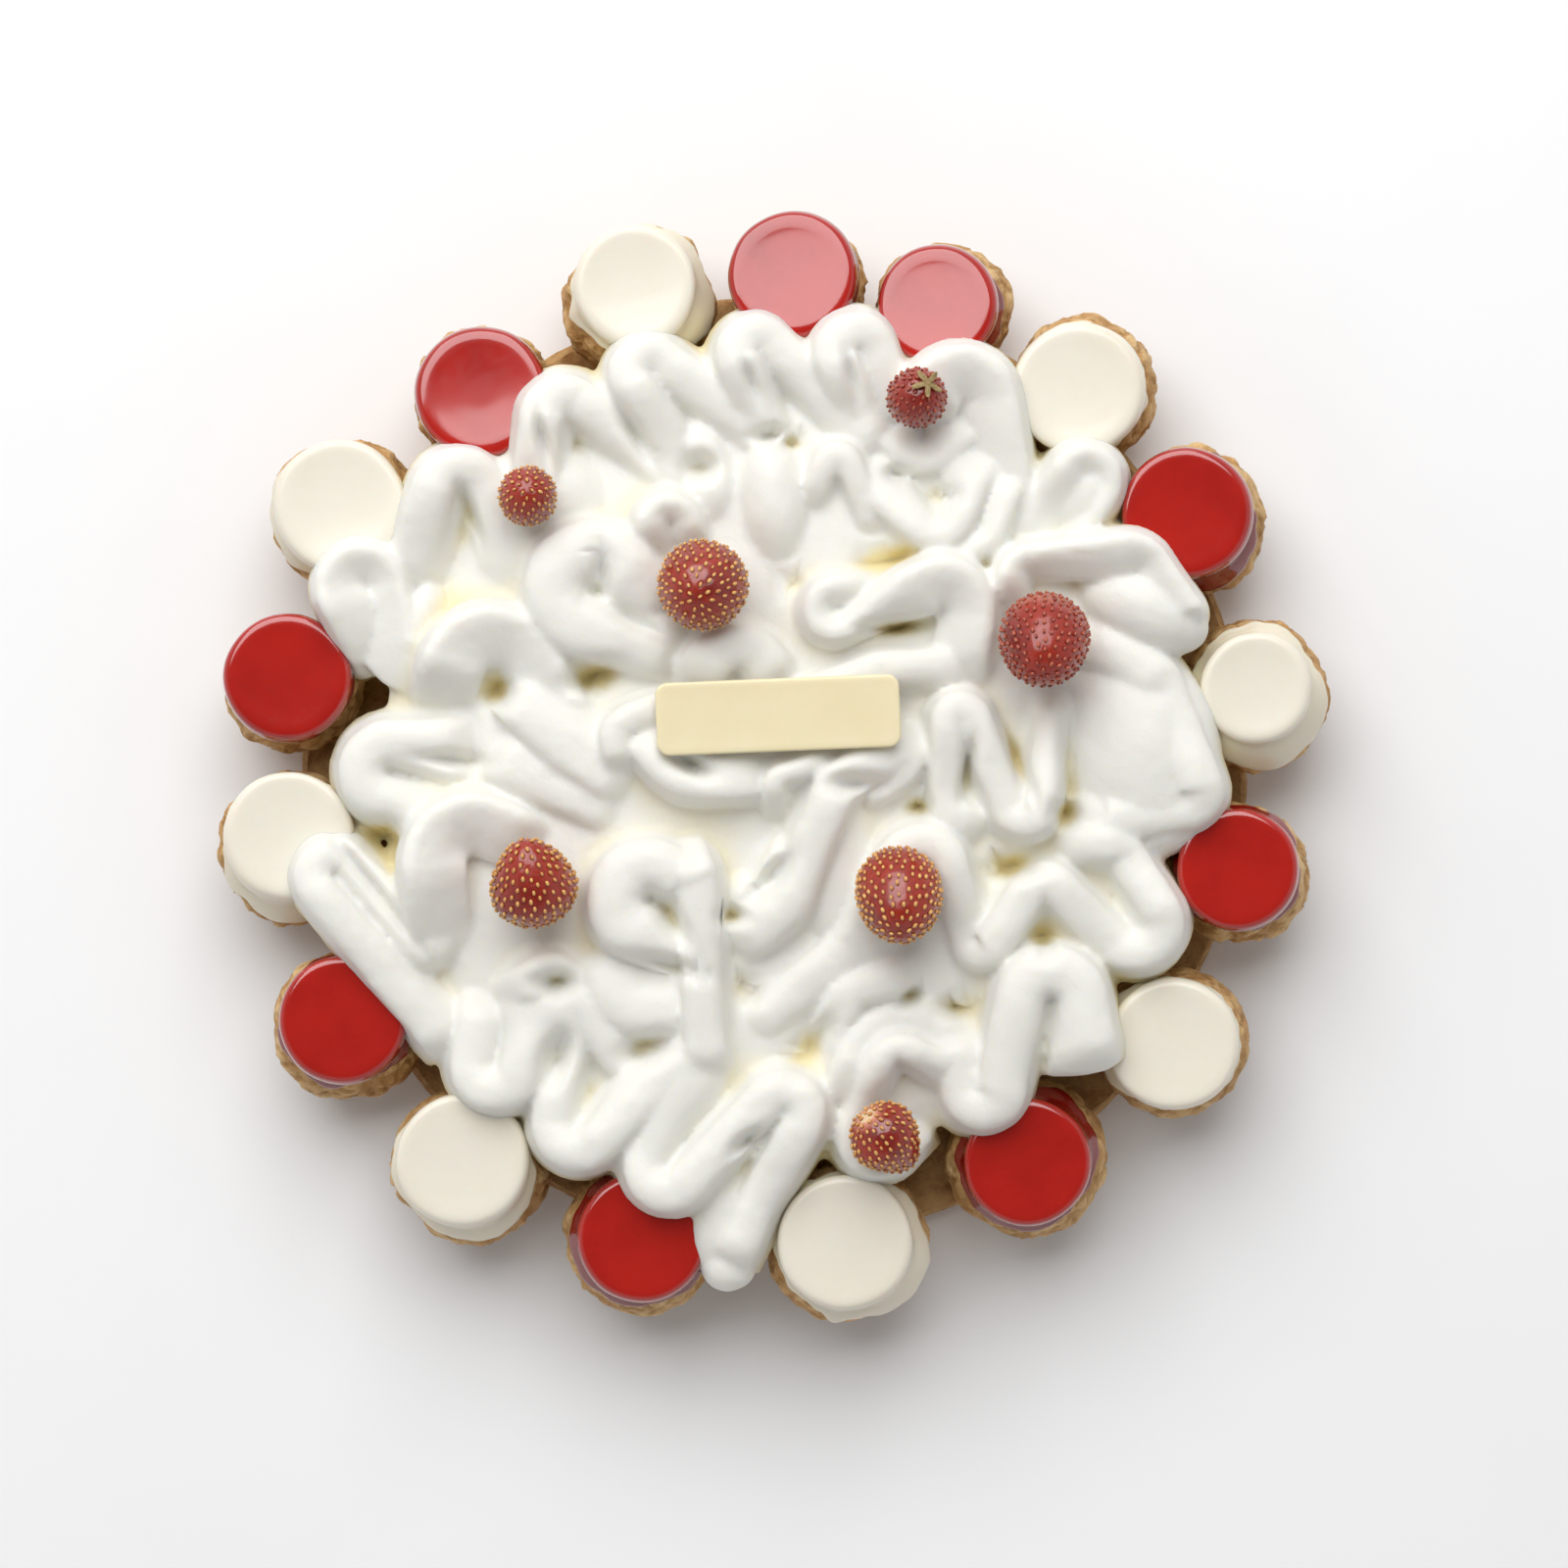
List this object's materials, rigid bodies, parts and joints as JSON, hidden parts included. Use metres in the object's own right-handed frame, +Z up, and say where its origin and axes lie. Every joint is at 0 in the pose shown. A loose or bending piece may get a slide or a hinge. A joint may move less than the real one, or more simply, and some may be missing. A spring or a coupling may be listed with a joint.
{
  "type": "saint honore cake",
  "caption": "Round pastry base ringed with glazed choux puffs, filled and topped with ruffled piped cream, wild strawberries and a bare chocolate plaque.",
  "frame": {"origin": "centre of the flat underside of the pastry base, on the surface that the cake stands on", "axes": "+Z up; +Y towards the side that the picture shows at its top; +X to the right of the plaque"},
  "size_m": [0.2322, 0.2309, 0.061],
  "materials": {
    "base": "baked pastry, golden, rough",
    "choux": "baked choux crust, brown in its folds",
    "red_glaze": "glossy red mirror glaze",
    "ivory_glaze": "satin ivory glaze",
    "cream": "whipped cream, soft and translucent",
    "strawberry": "red fruit skin with golden seeds",
    "sepals": "dried leaf",
    "plaque": "ivory-yellow white chocolate, satin"
  },
  "bodies": {
    "root": {"base": "base", "choux_01": "choux", "choux_02": "choux", "choux_03": "choux", "choux_04": "choux", "choux_05": "choux", "choux_06": "choux", "choux_07": "choux", "choux_08": "choux", "choux_09": "choux", "choux_10": "choux", "choux_11": "choux", "choux_12": "choux", "choux_13": "choux", "choux_14": "choux", "choux_15": "choux", "choux_16": "choux", "choux_17": "choux", "glaze_01": "ivory_glaze", "glaze_02": "red_glaze", "glaze_03": "red_glaze", "glaze_04": "ivory_glaze", "glaze_05": "red_glaze", "glaze_06": "ivory_glaze", "glaze_07": "red_glaze", "glaze_08": "ivory_glaze", "glaze_09": "red_glaze", "glaze_10": "ivory_glaze", "glaze_11": "red_glaze", "glaze_12": "ivory_glaze", "glaze_13": "red_glaze", "glaze_14": "ivory_glaze", "glaze_15": "red_glaze", "glaze_16": "ivory_glaze", "glaze_17": "red_glaze", "cream": "cream", "strawberry_1": "strawberry", "strawberry_2": "strawberry", "strawberry_3": "strawberry", "strawberry_4": "strawberry", "strawberry_5": "strawberry", "strawberry_6": "strawberry", "strawberry_7": "strawberry", "sepals": "sepals", "plaque": "plaque"}
  },
  "joints": []
}
